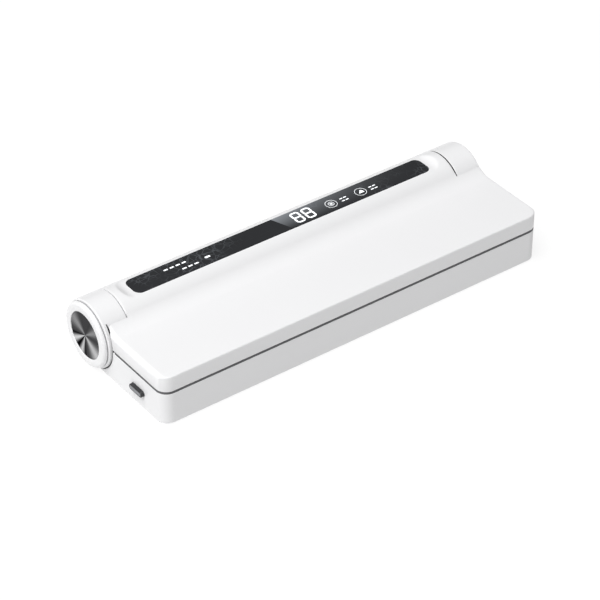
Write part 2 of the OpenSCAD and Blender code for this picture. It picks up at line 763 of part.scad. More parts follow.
module press_carrier() color(light_grey) body_frame() difference() {
    block(-strip_l / 2 + seal_gap, strip_l / 2 - seal_gap, seal_y - seal_w / 2 + seal_gap,
        seal_y + seal_w / 2 - seal_gap,
        liner_z, liner_z + 4.8);
    block(-strip_l / 2 + 2, strip_l / 2 - 2, seal_y - 2.2, seal_y + 2.2, 0, liner_z + 2.5);
}

module press_strip() color("firebrick") body_frame()
    block(-strip_l / 2 + 2.2, strip_l / 2 - 2.2, seal_y - 2, seal_y + 2, axis_z + 0.3, liner_z + 2.5);

// ---- Display ----

module display_glass() color(black) body_frame()
    translate([barrel_x, glass_y, flat_z - glass_t + glass_rise]) linear_extrude(glass_t)
        glass_outline(0);

module display_board() color(green) body_frame() difference() {
    block(-138, 138, glass_y - 8, glass_y + 8, display_board_z, display_board_top);
    for (x = barrel_screw_places) translate([x, axis_y, 0]) cylinder(r = 4, h = 100);
}

module digit_module() color(black) body_frame()
    translate([digit_x, glass_y, display_board_top]) linear_extrude(display_under - display_board_top)
        square(digit_size, center = true);

module touch_springs() color(brass) body_frame() for (x = touch_places)
    translate([x, glass_y, display_board_top]) cylinder(r = touch_r, h = display_under - display_board_top);

module control_board() color(green) body_frame()
    block(34, 98, axis_y - 18, axis_y + 18, control_top - board_t, control_top);

module control_parts() color(black) body_frame() {
    block(40, 54, axis_y - 7, axis_y + 7, control_top, control_top + 2);
    block(60, 74, axis_y - 6, axis_y + 6, control_top, control_top + 5.4);
    translate([86, axis_y - 7, control_top]) cylinder(r = 4.5, h = 6);
    translate([86, axis_y + 7, control_top]) cylinder(r = 3, h = 8);
}

// ---- Pump ----

module pump_motor() color(steel) body_frame() difference() {
    union() {
        axis_rod(motor_x, motor_x + motor_l, motor_r);
        axis_rod(motor_x - 3, motor_x, 5);
    }
    axis_rod(motor_x + 6, motor_x + motor_l + 1, shaft_r + fit);
}

module pump_head() color(black) body_frame() difference() {
    union() {
        translate([0, axis_y, axis_z]) block(head_x, head_x + head_l, -head_w / 2, head_w / 2,
            -head_w / 2, head_w / 2);
        translate([hose_x, axis_y - head_w / 2 - 6, hose_z]) rotate([-90, 0, 0])
            cylinder(r = barb_r, h = 7);
    }
    axis_rod(head_x - 1, head_x + 8, 4);
    axis_rod(head_x + 5, head_x + 18, 9);
    translate([hose_x, axis_y - head_w / 2 - 7, hose_z]) rotate([-90, 0, 0])
        cylinder(r = barb_bore_r, h = 11);
}

module pump_shaft() color(steel) body_frame() {
    axis_rod(motor_x + 7, head_x + 14, shaft_r);
    translate([head_x + 8, axis_y, axis_z + eccentric]) rotate([0, 90, 0]) cylinder(r = 5, h = 5);
}

module pump_saddle() color(mid_grey) body_frame() along_x(motor_x + 3, motor_x + motor_l - 4)
    difference() {
        intersection() {
            translate([axis_y, axis_z]) circle(barrel_r - wall - 0.15);
            translate([axis_y - 15, 0]) square([30, axis_z - 4]);
        }
        translate([axis_y, axis_z]) circle(motor_r + fit);
    }

module vacuum_nozzle() color(light_grey) body_frame() difference() {
    translate([hose_x, trough_y + trough_w / 2 - 1, hose_z]) rotate([-90, 0, 0]) {
        cylinder(r = 2, h = 3.5);
        translate([0, 0, 2.8]) cylinder(r = 3.2, h = 1);
        translate([0, 0, 3]) cylinder(r = barb_r, h = 8);
    }
    translate([hose_x, trough_y, hose_z]) rotate([-90, 0, 0]) cylinder(r = barb_bore_r, h = 40);
}

module vacuum_hose() color("silver") body_frame()
    translate([hose_x, hose_start, hose_z]) rotate([-90, 0, 0]) difference() {
        cylinder(r = hose_r, h = axis_y - head_w / 2 - hose_start);
        cylinder(r = barb_r + fit, h = 100);
    }

module lid_screws() color(steel) body_frame() for (p = lid_screw_places)
    translate([p[0], p[1], liner_z]) screw(9);

module barrel_screws() color(steel) body_frame() for (x = barrel_screw_places)
    translate([x, axis_y, axis_z - 2.6]) screw(16);

base_shell();
base_deck();
lower_gasket();
rim_seal();
collar_seal();
barrel_seal();
heater_carrier();
heating_strip();
ptfe_tape();
heater_terminals();
thermal_cutout();
power_board();
power_transformer();
board_capacitors();
board_heatsink();
rubber_feet();
base_screws();
hinge_pin_left();
hinge_pin_right();
left_end_cap();
left_end_disc();
right_end_cap();
mains_inlet();
inlet_pins();
lid_switch();
heater_leads();
mains_leads();
latch_spring_left();
latch_spring_right();
release_button_left();
release_button_right();
latch_slider_left();
latch_slider_right();
switch_plunger();
lid_shell();
lid_liner();
barrel_underside();
barrel_bush_left();
barrel_bush_right();
upper_gasket();
press_strip();
press_carrier();
lid_hook_left();
lid_hook_right();
display_glass();
display_board();
digit_module();
touch_springs();
control_board();
control_parts();
pump_motor();
pump_head();
pump_saddle();
pump_shaft();
vacuum_nozzle();
vacuum_hose();
lid_screws();
barrel_screws();
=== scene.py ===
"""Looks for the vacuum sealer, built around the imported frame. Lengths in mm until placed."""

import json
import math
from contextlib import contextmanager

import bmesh
import bpy
from mathutils import Matrix, Vector


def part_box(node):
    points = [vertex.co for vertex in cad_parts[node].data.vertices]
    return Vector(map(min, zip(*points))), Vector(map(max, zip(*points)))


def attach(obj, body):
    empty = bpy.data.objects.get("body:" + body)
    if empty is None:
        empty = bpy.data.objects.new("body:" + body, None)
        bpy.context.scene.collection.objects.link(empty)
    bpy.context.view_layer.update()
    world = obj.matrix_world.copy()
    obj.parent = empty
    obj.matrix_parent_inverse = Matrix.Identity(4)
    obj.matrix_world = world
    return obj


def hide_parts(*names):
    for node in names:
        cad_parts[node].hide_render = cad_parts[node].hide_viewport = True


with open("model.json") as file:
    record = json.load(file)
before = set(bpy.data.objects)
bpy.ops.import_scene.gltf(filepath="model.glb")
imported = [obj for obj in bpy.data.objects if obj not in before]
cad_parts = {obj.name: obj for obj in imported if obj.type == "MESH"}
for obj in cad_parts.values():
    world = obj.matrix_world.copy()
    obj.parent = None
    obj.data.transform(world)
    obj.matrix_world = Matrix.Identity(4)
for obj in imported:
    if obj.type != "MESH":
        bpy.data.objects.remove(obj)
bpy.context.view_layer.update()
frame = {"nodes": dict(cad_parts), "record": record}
NODES = frame["nodes"]

# ---- The body's own axes: x = 0 is its middle, y = 0 its front face, z = 0 the table ----

MM = 0.001
LID_LO, LID_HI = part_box("lid_shell")
TO_FRAME = Matrix.Translation(((LID_LO.x + LID_HI.x) / 2, LID_LO.y, 0)) @ Matrix.Scale(MM, 4)

# The flat body: lid above, base below.
HALF = 185.0  # half its length
CORNER_R = 10.0  # corners seen from above
WALL = 2.2
FILLET = 1.2  # rounded long edges of the lid and the base
EDGE = 0.5  # rounded lips at the parting line and at the barrel's ends
LID_TOP = 46.0
LID_Z0 = 32.0
BASE_Z0, BASE_Z1 = 1.5, 30.0
CHAMBER_Y = 66.3  # how far back its hollow reaches
BASE_FLOOR_Z = 3.5

# The barrel, about the hinge axis, and the hollow sweep that joins the flat lid to it.
AXIS_Y, AXIS_Z = 98.5, 31.0
BARREL_R = 29.0
BARREL_X, BARREL_HALF = -2.5, 162.7
INNER_R = BARREL_R - WALL
ROOF_Z = 53.8  # top of the space inside the barrel
SWEEP_R = 22.0
SWEEP_Y = AXIS_Y - math.sqrt((BARREL_R + SWEEP_R) ** 2 - (LID_TOP + SWEEP_R - AXIS_Z) ** 2)
SWEEP_END = AXIS_Y + (SWEEP_Y - AXIS_Y) * BARREL_R / (BARREL_R + SWEEP_R)
SWEEP_OVERLAP = 0.3  # how far the lid's plate runs on into the barrel
END_R = 4.3  # rounding of the lid's left end

# The base's housings beside the barrel. The key is the side: -1 left, 1 right.
SEAM = {-1: 0.7, 1: 1.2}  # gap to the barrel's end
HOUSING_RIM = {-1: 1.0, 1: 1.2}  # rounded outer rim
LID_CLEAR_R = 29.3  # the lid's cut round a housing
CRADLE_R = 29.8  # the base's cut under the barrel
POCKET_R = 26.5  # inside of a housing
BUSH_R = 10.0
PIN_R = 6.02
GROOVE_DEPTH, GROOVE_W = 1.4, 1.2  # round the collar, in the left side face

# Display glass, in a flat with a hollow rise at each end.
FLAT_Z = 57.5
GLASS_L, GLASS_W, GLASS_R = 291.0, 20.6, 6.0
GLASS_TOP = 57.7
GLASS_THICK = 1.5
GLASS_GAP = 0.2
SCOOP_START, SCOOP_R = GLASS_L / 2 + 2, 14.0
DIGIT_WINDOW = (21.0, 13.3, 6.8)  # middle, half length, half width
TOUCH_X, TOUCH_R = (46, 76), 4

# Ends of the barrel.
COLLAR_X = 187.5  # end of the left housing
CAP_FACE = 191.5
CAP_R, CAP_ROUND, CAP_LIP = 27.6, 2.5, 0.35  # cap, its outer rounding, and the lip round the disc
SPIGOT_R, STEM_R = 26.2, 17  # what fits in the housing
DISC_R = 20.0
DISC_GAP = 0.15
RIGHT_CAP_R = 22.0

# Screws as (x, y), or x where they sit under the axis; feet; and the release button's y, z, length, width.
SCREW_R, SCREW_HEAD_R = 1.8, 3.1
BARREL_SCREWS = [-145, -60, 104, 145]
BASE_SCREWS = [(-174, 18), (174, 18), (-130, 60), (-50, 60), (50, 60), (130, 60)]
FEET = [(-150, 14), (150, 14), (-174.5, 88), (174.5, 88)]
FOOT_R = 6
BUTTON = (34.5, 16.0, 17.0, 5.0)
BUTTON_OUT, BUTTON_BEVEL = 3.0, 0.6

FAR = 200  # where a cutter ends that runs out past the object


def top_of(y):
    """Height of the lid's outside over y: flat, then the hollow sweep."""
    if y <= SWEEP_Y:
        return LID_TOP
    return LID_TOP + SWEEP_R - math.sqrt(SWEEP_R**2 - (y - SWEEP_Y) ** 2)


# ---- Mesh helpers ----


@contextmanager
def editing(mesh):
    """A bmesh of the mesh, written back at the end."""
    bm = bmesh.new()
    bm.from_mesh(mesh)
    yield bm
    bm.to_mesh(mesh)
    bm.free()


def weld(bm, dist):
    bmesh.ops.remove_doubles(bm, verts=bm.verts, dist=dist)
    bmesh.ops.dissolve_degenerate(bm, edges=bm.edges, dist=dist)


def new_object(name, verts, faces):
    mesh = bpy.data.meshes.new(name)
    mesh.from_pydata(verts, [], faces)
    with editing(mesh) as bm:
        weld(bm, 1e-5)
        bmesh.ops.recalc_face_normals(bm, faces=bm.faces)
    obj = bpy.data.objects.new(name, mesh)
    bpy.context.scene.collection.objects.link(obj)
    return obj


def loft(rings, closed_ends=True):
    """Faces between equal closed rings of points, with the two ends filled."""
    n = len(rings[0])
    verts = [p for ring in rings for p in ring]
    faces = [
        (i * n + k, i * n + (k + 1) % n, (i + 1) * n + (k + 1) % n, (i + 1) * n + k)
        for i in range(len(rings) - 1)
        for k in range(n)
    ]
    if closed_ends:
        faces.append(tuple(reversed(range(n))))
        faces.append(tuple((len(rings) - 1) * n + k for k in range(n)))
    return verts, faces


def lathe(profile, x0, side, steps=128):
    """Turns (radius, length) points about the hinge axis. The first and last are on it."""
    verts, faces = [], []
    rows = []
    for r, l in profile:
        x = x0 + side * l
        if r < 1e-6:
            rows.append([len(verts)])
            verts.append((x, AXIS_Y, AXIS_Z))
            continue
        rows.append([len(verts) + k for k in range(steps)])
        verts += [(x, AXIS_Y + r * math.cos(t), AXIS_Z + r * math.sin(t)) for t in full_turn(steps)]
    for a, b in zip(rows, rows[1:]):
        for k in range(steps):
            m = (k + 1) % steps
            face = {a[k % len(a)], a[m % len(a)], b[m % len(b)], b[k % len(b)]}
            if len(face) == 4:
                faces.append((a[k], a[m], b[m], b[k]))
            elif len(a) == 1 and len(b) > 1:
                faces.append((a[0], b[m], b[k]))
            elif len(b) == 1 and len(a) > 1:
                faces.append((a[k], a[m], b[0]))
    return verts, faces


def rod(x0, x1, r, steps=128):
    x0, x1 = min(x0, x1), max(x0, x1)
    return lathe([(0, 0), (r, 0), (r, x1 - x0), (0, x1 - x0)], x0, 1, steps)


def barrel_end(side, beyond=0.0):
    """Place along the body of the turning barrel's end, and of what lies beyond it."""
    return BARREL_X + side * (BARREL_HALF + beyond)


def post(x, y, z0, z1, r, steps=48):
    return loft([[(px, py, z) for px, py in circle(x, y, r, steps)] for z in (z0, z1)])


def block(x0, x1, y0, y1, z0, z1):
    return loft([[(x0, y0, z), (x1, y0, z), (x1, y1, z), (x0, y1, z)] for z in (z0, z1)])


def quarter(steps):
    """Angles from nothing to a right angle."""
    return [math.pi / 2 * k / steps for k in range(steps + 1)]


def full_turn(steps):
    """Angles all the way round, without the last, which is the first again."""
    return [2 * math.pi * k / steps for k in range(steps)]


def circle(cx, cy, r, steps=48):
    return [(cx + r * math.cos(t), cy + r * math.sin(t)) for t in full_turn(steps)]


def arc(cx, cy, r, start, turn, steps):
    """Points on an arc about (cx, cy). Its start and turn are in degrees."""
    angles = [math.radians(start + turn * k / steps) for k in range(steps + 1)]
    return [(cx + r * math.cos(a), cy + r * math.sin(a)) for a in angles]


def round_rect(l, w, r, steps=12):
    """Outline of a rounded rectangle centred on the origin."""
    x, y = l / 2 - r, w / 2 - r
    left, low = r - l / 2, r - w / 2
    points = []
    for cx, cy, start in ((x, y, 0), (left, y, 90), (left, low, 180), (x, low, 270)):
        points += arc(cx, cy, r, start, 90, steps)
    return points


def body_outline(inset, y_back, steps):
    """Outline of the flat body seen from above, from its front left corner round to its back left."""
    points = []
    for cx, start in ((-HALF + CORNER_R, 180), (HALF - CORNER_R, 270)):
        points += arc(cx, CORNER_R, CORNER_R - inset, start, 90, steps)
    return points + [(HALF - inset, y_back), (-HALF + inset, y_back)]


def button_outline(grow):
    """Outline of the release button in y and z, grown all round."""
    y, z, l, w = BUTTON
    points = []
    for cy, start in ((y + l / 2 - w / 2, -90), (y - l / 2 + w / 2, 90)):
        points += arc(cy, z, w / 2 + grow, start, 180, 16)
    return points


def merged(*shapes):
    verts, faces = [], []
    for v, f in shapes:
        n = len(verts)
        verts += v
        faces += [tuple(i + n for i in face) for face in f]
    return verts, faces


def boolean(obj, kind, shape):
    """Adds or takes away a closed shape with the exact solver, and keeps the result."""
    other = new_object("cutter", *shape)
    mod = obj.modifiers.new("b", "BOOLEAN")
    mod.operation, mod.solver, mod.object = kind, "EXACT", other
    graph = bpy.context.evaluated_depsgraph_get()
    mesh = bpy.data.meshes.new_from_object(obj.evaluated_get(graph))
    obj.modifiers.clear()
    old = obj.data
    obj.data = mesh
    bpy.data.meshes.remove(old)
    spare = other.data
    bpy.data.objects.remove(other)
    bpy.data.meshes.remove(spare)


def finish_piece(obj, name, body, material, nodes=(), smooth_angle=32):
    """Places the piece in the shared frame, smooths it, and says what it is."""
    obj.name = name
    obj.data.name = name
    obj.data.transform(TO_FRAME)
    limit = math.radians(smooth_angle)
    with editing(obj.data) as bm:
        for f in bm.faces:
            f.smooth = True
        for e in bm.edges:
            e.smooth = not (len(e.link_faces) == 2 and e.calc_face_angle(0) > limit)
    obj.data.materials.clear()
    obj.data.materials.append(material)
    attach(obj, body)
    if nodes:
        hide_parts(*nodes)
    return obj


# ---- Materials ----


def srgb(v):
    v = v / 255
    return v / 12.92 if v <= 0.04045 else ((v + 0.055) / 1.055) ** 2.4


def colour(r, g, b):
    return (srgb(r), srgb(g), srgb(b), 1.0)


def plastic(name, base, roughness, vary=0.05, grain=1800.0, bump=0.02, tint=0.02, metallic=0.0,
            coat=0.0, specular=0.5, wave=0.0):
    """Principled surface with fine grain, patches of roughness and a slight drift in colour."""
    mat = bpy.data.materials.new(name)
    mat.use_nodes = True
    tree = mat.node_tree
    add, link = tree.nodes.new, tree.links.new
    bsdf = tree.nodes["Principled BSDF"]
    bsdf.inputs["Metallic"].default_value = metallic
    bsdf.inputs["Coat Weight"].default_value = coat
    bsdf.inputs["Coat Roughness"].default_value = 0.08
    bsdf.inputs["Specular IOR Level"].default_value = specular
    where = add("ShaderNodeTexCoord")
    patches = add("ShaderNodeTexNoise")
    patches.inputs["Scale"].default_value = 35.0
    patches.inputs["Detail"].default_value = 3.0
    link(where.outputs["Object"], patches.inputs["Vector"])
    shade = add("ShaderNodeMix")
    shade.data_type = "RGBA"
    low = [max(0.0, c * (1 - tint)) for c in base[:3]] + [1.0]
    high = [min(1.0, c * (1 + tint)) for c in base[:3]] + [1.0]
    ends = [s for s in shade.inputs if s.type == "RGBA"]
    ends[0].default_value, ends[1].default_value = low, high
    link(patches.outputs["Fac"], shade.inputs[0])
    colour_out = next(o for o in shade.outputs if o.type == "RGBA")
    link(colour_out, bsdf.inputs["Base Color"])
    rough = add("ShaderNodeMapRange")
    rough.inputs["To Min"].default_value = max(0.02, roughness - vary)
    rough.inputs["To Max"].default_value = min(1.0, roughness + vary)
    link(patches.outputs["Fac"], rough.inputs["Value"])
    link(rough.outputs["Result"], bsdf.inputs["Roughness"])
    fine = add("ShaderNodeTexNoise")
    fine.inputs["Scale"].default_value = grain
    fine.inputs["Detail"].default_value = 2.0
    link(where.outputs["Object"], fine.inputs["Vector"])
    height = fine.outputs["Fac"]
    if wave:
        lines = add("ShaderNodeTexWave")
        lines.inputs["Scale"].default_value = wave
        lines.inputs["Distortion"].default_value = 0.6
        link(where.outputs["Object"], lines.inputs["Vector"])
        height = lines.outputs["Fac"]
    relief = add("ShaderNodeBump")
    relief.inputs["Strength"].default_value = bump
    relief.inputs["Distance"].default_value = 0.0002
    link(height, relief.inputs["Height"])
    link(relief.outputs["Normal"], bsdf.inputs["Normal"])
    return mat


WHITE = plastic("shell_white", colour(229, 229, 230), 0.36, vary=0.03, grain=2600, bump=0.03, tint=0.004)
COLLAR = plastic("collar_white", colour(230, 230, 231), 0.30, vary=0.03, grain=2600, bump=0.02, tint=0.004)
BLACK = plastic("button_black", colour(38, 38, 40), 0.38, vary=0.06, grain=2400, bump=0.06, tint=0.06)
# Grey panel on the black buttons' faces: painted highlight where the black face catches the light.
BUTTON_PAINTED_HIGHLIGHT = plastic("button_painted_highlight", colour(128, 130, 134), 0.42, grain=2400, bump=0.06, tint=0.04)

# Each material slot's colour, roughness and other settings. Lines (wave) are wound wire, weave or fins.
SLOT_LOOKS = {
    "inner_plastic": ((206, 208, 210), 0.48, dict(grain=1600, bump=0.05)),
    "gasket_foam": ((58, 60, 64), 0.85, dict(vary=0.08, grain=1300, bump=0.55, tint=0.14)),
    "press_silicone": ((196, 66, 52), 0.62, dict(grain=1500, bump=0.12, tint=0.05)),
    "heater_base": ((196, 172, 128), 0.6, dict(grain=1200, bump=0.12, tint=0.08, wave=900)),
    "heating_ribbon": ((196, 194, 190), 0.3, dict(metallic=1.0, bump=0.05, wave=1500)),
    "ptfe_cloth": ((186, 152, 112), 0.45, dict(bump=0.4, tint=0.08, wave=1400)),
    "contact_brass": ((214, 182, 102), 0.28, dict(metallic=1.0, bump=0.05, tint=0.06)),
    "plain_steel": ((186, 188, 192), 0.3, dict(metallic=1.0, bump=0.05, tint=0.05)),
    "motor_can": ((188, 190, 194), 0.32, dict(metallic=1.0, bump=0.06, wave=500)),
    "heat_sink": ((186, 190, 196), 0.38, dict(metallic=1.0, bump=0.12, wave=700)),
    "circuit_board": ((28, 96, 58), 0.4, dict(bump=0.15, tint=0.12, wave=420, coat=0.3)),
    "component_black": ((36, 36, 38), 0.5, dict(bump=0.12, tint=0.08)),
    "transformer_tape": ((214, 178, 58), 0.42, dict(bump=0.1, tint=0.06, wave=380)),
    "plunger_grey": ((140, 143, 148), 0.42, dict(bump=0.06)),
    "hose_silicone": ((222, 224, 222), 0.4, dict(bump=0.06, tint=0.03)),
    "foot_rubber": ((44, 44, 44), 0.8, dict(vary=0.08, bump=0.3, tint=0.12)),
    "wire_red": ((178, 42, 36), 0.42, dict(bump=0.08)),
    "wire_brown": ((110, 72, 46), 0.42, dict(bump=0.08)),
}
SLOT_MATERIALS = {"shell_white": WHITE, "button_black": BLACK}
for slot_name, (rgb, roughness, more) in SLOT_LOOKS.items():
    SLOT_MATERIALS[slot_name] = plastic(slot_name, colour(*rgb), roughness, **more)
# Grey seal ring in the cap's gap, also painted shade where the gap is dark.
CAP_SEAL_AND_SHADE_GREY = plastic("cap_seal_and_shade_grey", colour(150, 150, 152), 0.5)
# Rubber of the seal in the parting gap, dark grey so that it is also painted shade for the gap.
SEAL_AND_GAP_SHADE_GREY = plastic("seal_and_gap_shade_grey", colour(92, 92, 94), 0.8, vary=0.08, bump=0.3, tint=0.12)


def print_white():
    """Backlit white marks under the glass."""
    mat = plastic("mark_white", colour(244, 246, 248), 0.4, bump=0.02)
    bsdf = mat.node_tree.nodes["Principled BSDF"]
    bsdf.inputs["Emission Color"].default_value = (0.93, 0.96, 1.0, 1.0)
    bsdf.inputs["Emission Strength"].default_value = 0.55
    return mat


# Where along the body the painted reflection on the glass starts, its slant, and how many metres it takes to
# fade out.
PAINTED_REFLECTION_X, PAINTED_REFLECTION_SLANT, PAINTED_REFLECTION_LENGTH = -3.1, 0.372, 0.15
GLASS_TONE, VEIN_TONE, PAINTED_REFLECTION_TONE = colour(44, 45, 47), colour(88, 91, 95), colour(150, 154, 159)


def glass_black():
    """Black back-printed glass: faint veins, and a painted grey reflection that starts at a slanting edge.
    """
    mat = plastic("display_black", GLASS_TONE, 0.16, vary=0.02, grain=1200, bump=0.0, tint=0.10,
                  coat=0.25, specular=0.45)
    tree = mat.node_tree
    add, link = tree.nodes.new, tree.links.new
    bsdf = tree.nodes["Principled BSDF"]
    where = next(n for n in tree.nodes if n.bl_idname == "ShaderNodeTexCoord")

    def mix_in(factor, tone):
        """Mixes a tone over the base colour."""
        node = add("ShaderNodeMix")
        node.data_type = "RGBA"
        before = bsdf.inputs["Base Color"].links[0].from_socket
        sockets = [s for s in node.inputs if s.type == "RGBA"]
        link(before, sockets[0])
        sockets[1].default_value = tone
        link(factor, node.inputs[0])
        link(next(o for o in node.outputs if o.type == "RGBA"), bsdf.inputs["Base Color"])

    def ramp(source, x0, x1, y0, y1):
        node = add("ShaderNodeMapRange")
        for name, value in (("From Min", x0), ("From Max", x1), ("To Min", y0), ("To Max", y1)):
            node.inputs[name].default_value = value
        link(source, node.inputs["Value"])
        return node.outputs["Result"]

    def maths(kind, first, second):
        node = add("ShaderNodeMath")
        node.operation = kind
        for socket, value in zip(node.inputs, (first, second)):
            if isinstance(value, float):
                socket.default_value = value
            else:
                link(value, socket)
        return node.outputs["Value"]

    # Veins: cell edges, bent by one noise and let through in patches by another.
    bend = add("ShaderNodeTexNoise")
    bend.inputs["Scale"].default_value = 70.0
    bend.inputs["Detail"].default_value = 2.0
    link(where.outputs["Object"], bend.inputs["Vector"])
    push = add("ShaderNodeVectorMath")
    push.operation = "MULTIPLY_ADD"
    push.inputs[1].default_value = (0.011, 0.011, 0.0)
    link(bend.outputs["Color"], push.inputs[0])
    link(where.outputs["Object"], push.inputs[2])
    veins = add("ShaderNodeTexVoronoi")
    veins.feature = "DISTANCE_TO_EDGE"
    veins.inputs["Scale"].default_value = 185.0
    link(push.outputs["Vector"], veins.inputs["Vector"])
    spread = add("ShaderNodeTexNoise")
    spread.inputs["Scale"].default_value = 22.0
    link(where.outputs["Object"], spread.inputs["Vector"])
    line = ramp(veins.outputs["Distance"], 0.0, 0.07, 0.8, 0.0)
    patch = ramp(spread.outputs["Fac"], 0.46, 0.58, 0.0, 1.0)
    mix_in(maths("MULTIPLY", line, patch), VEIN_TONE)

    # Painted reflection: sets in at the slanting edge, fades along the body, and is brighter towards the
    # back.
    split = add("ShaderNodeSeparateXYZ")
    link(where.outputs["Object"], split.inputs["Vector"])
    edge = TO_FRAME @ Vector((PAINTED_REFLECTION_X, AXIS_Y, 0))
    slant = maths("MULTIPLY", maths("SUBTRACT", split.outputs["Y"], edge.y), PAINTED_REFLECTION_SLANT)
    along = maths("ADD", maths("SUBTRACT", split.outputs["X"], edge.x), slant)
    fade = maths("POWER", ramp(along, 0.0, PAINTED_REFLECTION_LENGTH, 1.0, 0.0), 2.0)
    start = ramp(along, 0.0, 0.0004, 0.0, 0.88)
    half_w = GLASS_W / 2 * MM
    across = maths("POWER", ramp(split.outputs["Y"], edge.y - half_w, edge.y + half_w, 0.02, 1.0), 1.3)
    mix_in(maths("MULTIPLY", maths("MULTIPLY", fade, start), across), PAINTED_REFLECTION_TONE)
    return mat


# Painted reflection on the dark disc, as fans of light: the middle of each, as a share of a turn from the
# front counted under the axis, its half width and its grey.
DISC_GREY = 70
PAINTED_HIGHLIGHT_FANS = [(0.1, 0.13, 200), (0.3, 0.035, 210), (0.4, 0.04, 220), (0.58, 0.12, 150), (0.9, 0.06, 150)]


def painted_highlight_grey(turn):
    """Grey at a share of a turn, where each painted highlight fan is a smooth bump."""
    grey = DISC_GREY
    for middle, half, light in PAINTED_HIGHLIGHT_FANS:
        off = abs((turn - middle + 0.5) % 1.0 - 0.5) / half
        if off < 1:
            grey += (light - DISC_GREY) * math.cos(off * math.pi / 2) ** 2
    return grey


def spun_metal():
    """Spun aluminium: fine concentric lines, and a painted reflection of light fans on dark in its colour
    round the disc.
    """
    mat = plastic("spun_metal", colour(176, 178, 181), 0.26, vary=0.03, metallic=1.0, tint=0.03)
    tree = mat.node_tree
    add, link = tree.nodes.new, tree.links.new
    bsdf = tree.nodes["Principled BSDF"]
    bsdf.inputs["Anisotropic"].default_value = 0.5
    bsdf.inputs["Specular Tint"].default_value = (0.5, 0.5, 0.5, 1.0)
    where = next(n for n in tree.nodes if n.bl_idname == "ShaderNodeTexCoord")
    lo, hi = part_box("left_end_disc")
    centre = add("ShaderNodeVectorMath")
    centre.operation = "SUBTRACT"
    centre.inputs[1].default_value = (hi.x, (lo.y + hi.y) / 2, (lo.z + hi.z) / 2)
    link(where.outputs["Object"], centre.inputs[0])
    split = add("ShaderNodeSeparateXYZ")
    link(centre.outputs["Vector"], split.inputs["Vector"])
    angle = add("ShaderNodeMath")
    angle.operation = "ARCTAN2"
    link(split.outputs["Z"], angle.inputs[0])
    link(split.outputs["Y"], angle.inputs[1])
    turn = add("ShaderNodeMapRange")
    turn.inputs["From Min"].default_value = -math.pi
    turn.inputs["From Max"].default_value = math.pi
    link(angle.outputs["Value"], turn.inputs["Value"])
    # Painted reflection: the base colour is a ramp of light fans on dark round the disc.
    painted_fan_ramp = add("ShaderNodeValToRGB")
    painted_fan_ramp.color_ramp.interpolation = "CARDINAL"
    while len(painted_fan_ramp.color_ramp.elements) > 1:
        painted_fan_ramp.color_ramp.elements.remove(painted_fan_ramp.color_ramp.elements[-1])
    for i in range(31):
        at = i / 30
        grey = painted_highlight_grey(at)
        e = painted_fan_ramp.color_ramp.elements[0] if i == 0 else painted_fan_ramp.color_ramp.elements.new(at)
        e.position = at
        e.color = colour(grey, grey, grey + 1)
    link(turn.outputs["Result"], painted_fan_ramp.inputs["Fac"])
    link(painted_fan_ramp.outputs["Color"], bsdf.inputs["Base Color"])
    length = add("ShaderNodeVectorMath")
    length.operation = "LENGTH"
    flat = add("ShaderNodeVectorMath")
    flat.operation = "MULTIPLY"
    flat.inputs[1].default_value = (0, 1, 1)
    link(centre.outputs["Vector"], flat.inputs[0])
    link(flat.outputs["Vector"], length.inputs[0])
    rings = add("ShaderNodeTexNoise")
    rings.noise_dimensions = "1D"
    rings.inputs["Scale"].default_value = 2600.0
    rings.inputs["Detail"].default_value = 3.0
    link(length.outputs["Value"], rings.inputs["W"])
    bump = next(n for n in tree.nodes if n.bl_idname == "ShaderNodeBump")
    link(rings.outputs["Fac"], bump.inputs["Height"])
    bump.inputs["Strength"].default_value = 0.25
    bump.inputs["Distance"].default_value = 0.0001
    tangent = add("ShaderNodeTangent")
    tangent.direction_type = "RADIAL"
    tangent.axis = "X"
    link(tangent.outputs["Tangent"], bsdf.inputs["Tangent"])
    return mat


# ---- The lid: plate with rounded edges, sweep and barrel ----

# Where the lid plate has points along its sides, closer together up the sweep, and along its front.
SWEEP_RUN = SWEEP_END + SWEEP_OVERLAP - SWEEP_Y
SIDE_ROWS = [CORNER_R, 24, 36, 48, SWEEP_Y] + [SWEEP_Y + SWEEP_RUN * k / 22 for k in range(1, 23)]
FRONT_COLUMNS = [-HALF + CORNER_R + (2 * HALF - 2 * CORNER_R) * k / 60 for k in range(1, 60)]


def plate_ring(inset):
    """Points and outward normals seen from above, from the back left round the front to the back right."""
    r = CORNER_R - inset
    points = []
    for y in reversed(SIDE_ROWS):
        points.append(((-HALF + inset, y), (-1, 0)))
    for k in range(1, 13):
        a = math.radians(180 + 90 * k / 12)
        out = (math.cos(a), math.sin(a))
        points.append(((-HALF + CORNER_R + r * out[0], CORNER_R + r * out[1]), out))
    for x in FRONT_COLUMNS:
        points.append(((x, inset), (0, -1)))
    for k in range(12):
        a = math.radians(270 + 90 * k / 12)
        out = (math.cos(a), math.sin(a))
        points.append(((HALF - CORNER_R + r * out[0], CORNER_R + r * out[1]), out))
    for y in SIDE_ROWS:
        points.append(((HALF - inset, y), (1, 0)))
    return points


